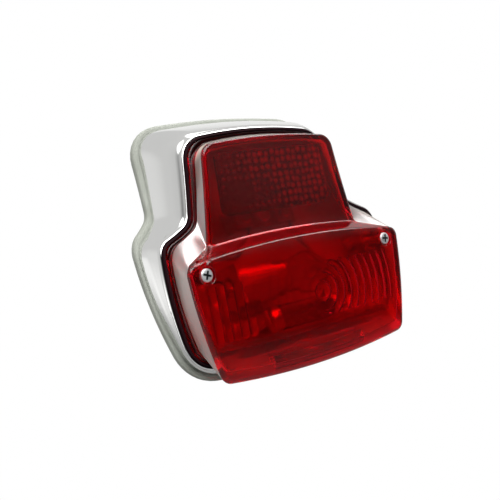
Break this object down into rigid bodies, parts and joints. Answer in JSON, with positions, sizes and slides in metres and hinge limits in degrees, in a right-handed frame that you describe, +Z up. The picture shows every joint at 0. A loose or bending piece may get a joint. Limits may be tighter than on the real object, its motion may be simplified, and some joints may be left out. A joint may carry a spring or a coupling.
{
  "type": "tail light",
  "caption": "Scooter tail and stop light: shouldered red lens with a reflector panel on a chromed housing, rubber seals and a sloping base plate on studs.",
  "frame": {"origin": "centre of the sloping plane that the rear gasket rests on, where the lamp meets the bodywork", "axes": "+Z up, the lens looks along -Y and stands upright, +X to the right as seen from in front; the mounting plane leans 14.8 degrees"},
  "size_m": [0.123, 0.0513, 0.1132],
  "materials": {
    "chrome": "bright plated steel pressing, mirror polish",
    "zinc_plate": "zinc-plated sheet steel",
    "zinc_screw": "zinc-plated fastener",
    "brass": "bright brass",
    "spring_brass": "half-hard spring brass",
    "spring_steel": "spring wire",
    "tungsten": "drawn wire",
    "red_lens": "transparent red, gloss, with moulded optics inside",
    "reflector": "transparent red with prism cells",
    "clear_window": "clear, gloss",
    "bulb_glass": "clear blown glass",
    "grey_rubber": "matt moulded rubber",
    "black_rubber": "matt moulded rubber",
    "laminate": "resin-bonded paper board",
    "wire_sleeve": "satin vinyl sleeve"
  },
  "bodies": {
    "root": {"rear_gasket": "grey_rubber", "housing": "chrome", "lens_gasket": "black_rubber", "base_plate": "zinc_plate", "screw_pillar_left": "zinc_plate", "screw_pillar_right": "zinc_plate", "mounting_stud_left": "zinc_screw", "mounting_stud_right": "zinc_screw", "flat_washer_left": "zinc_screw", "flat_washer_right": "zinc_screw", "split_washer_left": "zinc_screw", "split_washer_right": "zinc_screw", "mounting_nut_left": "zinc_screw", "mounting_nut_right": "zinc_screw", "socket_bracket": "zinc_plate", "bracket_rivet_upper": "zinc_screw", "bracket_rivet_lower": "zinc_screw", "stop_socket_shell": "zinc_plate", "socket_insulator": "laminate", "contact_spring": "spring_steel", "festoon_board": "laminate", "festoon_clip_left": "spring_brass", "festoon_clip_right": "spring_brass", "board_rivet_left": "zinc_screw", "board_rivet_right": "zinc_screw", "terminal_block": "laminate", "block_screw": "zinc_screw", "terminal_strip_left": "brass", "terminal_strip_right": "brass", "terminal_screw_left": "brass", "terminal_screw_right": "brass", "stop_lead": "wire_sleeve", "tail_lead": "wire_sleeve", "cable_grommet": "black_rubber"},
    "lens": {"lens": "red_lens", "plate_window": "clear_window", "reflex_reflector": "reflector"},
    "lens_screw_left": {"lens_screw_left": "zinc_screw"},
    "lens_screw_right": {"lens_screw_right": "zinc_screw"},
    "stop_bulb": {"stop_bulb_base": "brass", "stop_bulb_glass": "bulb_glass", "stop_bulb_filament": "tungsten"},
    "contact": {"contact_plunger": "brass"},
    "festoon_bulb": {"festoon_glass": "bulb_glass", "festoon_filament": "tungsten", "festoon_cap_left": "brass", "festoon_cap_right": "brass"}
  },
  "joints": [
    {"name": "lens_lift", "type": "slide", "parent": "root", "child": "lens", "axis": [0, -1, 0], "range_m": [0, 0.065]},
    {"name": "left_screw_undo", "type": "slide", "parent": "lens", "child": "lens_screw_left", "axis": [0, -1, 0], "range_m": [0, 0.022]},
    {"name": "right_screw_undo", "type": "slide", "parent": "lens", "child": "lens_screw_right", "axis": [0, -1, 0], "range_m": [0, 0.022]},
    {"name": "stop_bulb_turn", "type": "hinge", "parent": "root", "child": "stop_bulb", "pos_m": [0, -0.01878, -0.01934], "axis": [1, 0, 0], "range_deg": [0, 18]},
    {"name": "contact_press", "type": "slide", "parent": "root", "child": "contact", "axis": [-1, 0, 0], "range_m": [0, 0.0012], "stiffness_N_per_m": 500, "springref_m": -0.001, "deforming": ["contact_spring"]},
    {"name": "festoon_turn", "type": "hinge", "parent": "root", "child": "festoon_bulb", "pos_m": [0, -0.02213, -0.0351], "axis": [1, 0, 0], "continuous": true}
  ]
}
